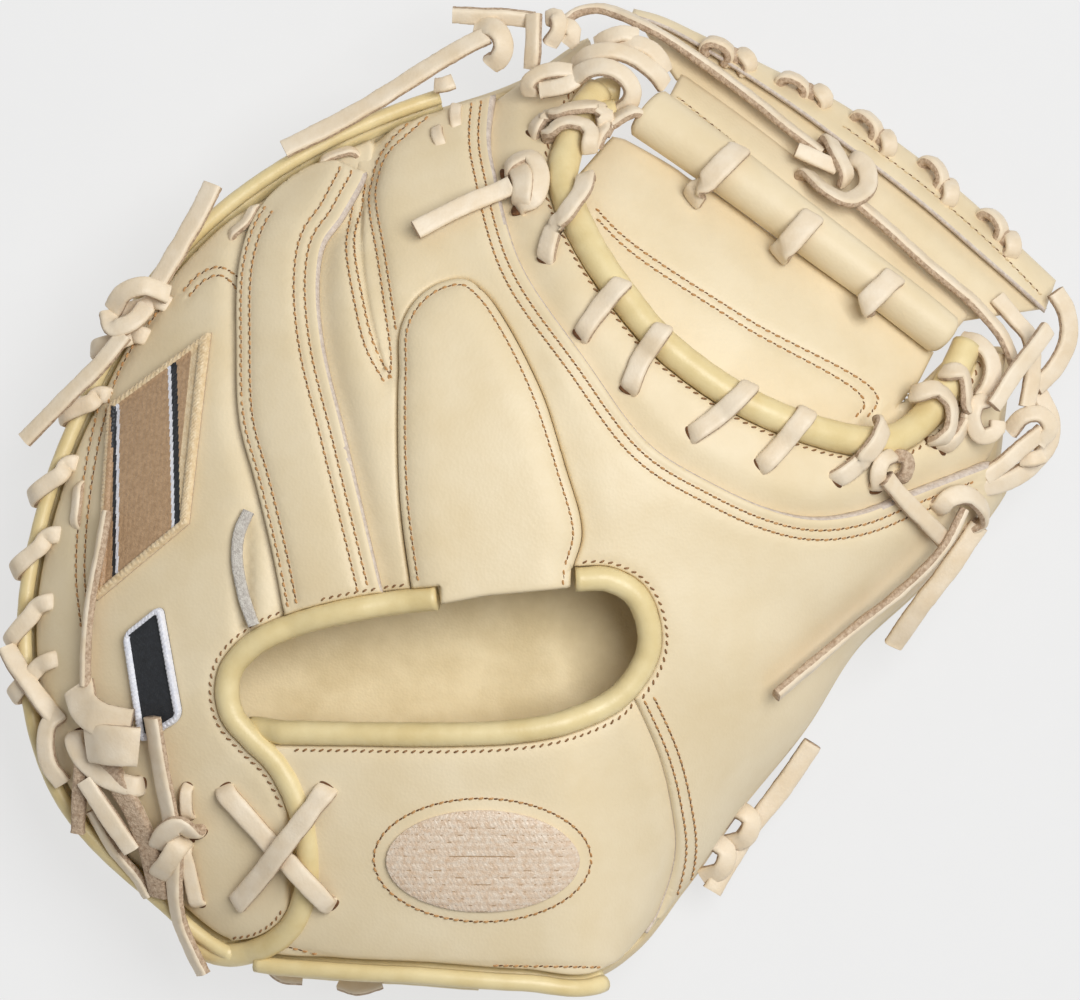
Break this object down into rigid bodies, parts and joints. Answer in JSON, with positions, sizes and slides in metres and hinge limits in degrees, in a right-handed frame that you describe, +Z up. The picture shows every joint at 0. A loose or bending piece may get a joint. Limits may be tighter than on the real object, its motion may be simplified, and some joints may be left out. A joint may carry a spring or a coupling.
{
  "type": "catcher's mitt",
  "caption": "Catcher's mitt for the left hand: padded leather palm and back, rolled bindings, laced web, and open spaces for the hand and the ball.",
  "frame": {"origin": "middle of the mitt's footprint, on the surface that it rests on", "axes": "+X from the little finger to the thumb and web, +Y from the wrist to the finger tips, +Z up through the back of the hand"},
  "size_m": [0.2942, 0.2688, 0.094],
  "materials": {
    "shell_leather": "smooth full-grain, cream, softly lustrous",
    "palm_leather": "smooth full-grain over padding, cream",
    "binding_leather": "rolled and stitched, straw yellow",
    "lace_leather": "rawhide thong, smooth face and napped cut edges",
    "patch_cloth": "satin-stitched patch, rose gold with cream border"
  },
  "bodies": {
    "root": {"palm_pad": "palm_leather", "pinky_back": "shell_leather", "middle_back": "shell_leather", "main_back": "shell_leather", "finger_hood": "shell_leather", "web_facing": "shell_leather", "wrist_strap": "shell_leather", "tab_binding": "binding_leather", "strap_binding": "binding_leather", "collar_binding": "binding_leather", "edge_binding": "binding_leather", "strap_hem": "binding_leather", "heel_binding": "binding_leather", "web_panel": "shell_leather", "web_bar": "shell_leather", "bar_strip": "shell_leather", "web_band": "shell_leather", "rim_band": "shell_leather", "collar_lace_1": "lace_leather", "collar_lace_2": "lace_leather", "collar_lace_3": "lace_leather", "collar_lace_4": "lace_leather", "collar_lace_5": "lace_leather", "collar_lace_6": "lace_leather", "collar_lace_7": "lace_leather", "collar_lace_8": "lace_leather", "collar_lace_9": "lace_leather", "bar_lace_1": "lace_leather", "bar_lace_2": "lace_leather", "bar_lace_3": "lace_leather", "edge_lacing": "lace_leather", "rim_lacing": "lace_leather", "web_lace": "lace_leather", "facing_knot": "lace_leather", "thumb_knot_1": "lace_leather", "thumb_knot_2": "lace_leather", "side_lace": "lace_leather", "heel_knot": "lace_leather", "heel_lace": "lace_leather", "heel_tails": "lace_leather", "tip_knot": "lace_leather", "web_top_loop": "lace_leather", "edge_tail_1": "lace_leather", "edge_tail_2": "lace_leather", "thumb_tail": "lace_leather", "rim_loop_1": "lace_leather", "rim_loop_2": "lace_leather", "short_tail": "lace_leather", "thumb_edge_lace": "lace_leather", "cross_lace_under": "lace_leather", "cross_lace_over": "lace_leather", "side_patch": "patch_cloth", "tab_patch": "patch_cloth", "strap_patch": "patch_cloth"}
  },
  "joints": []
}
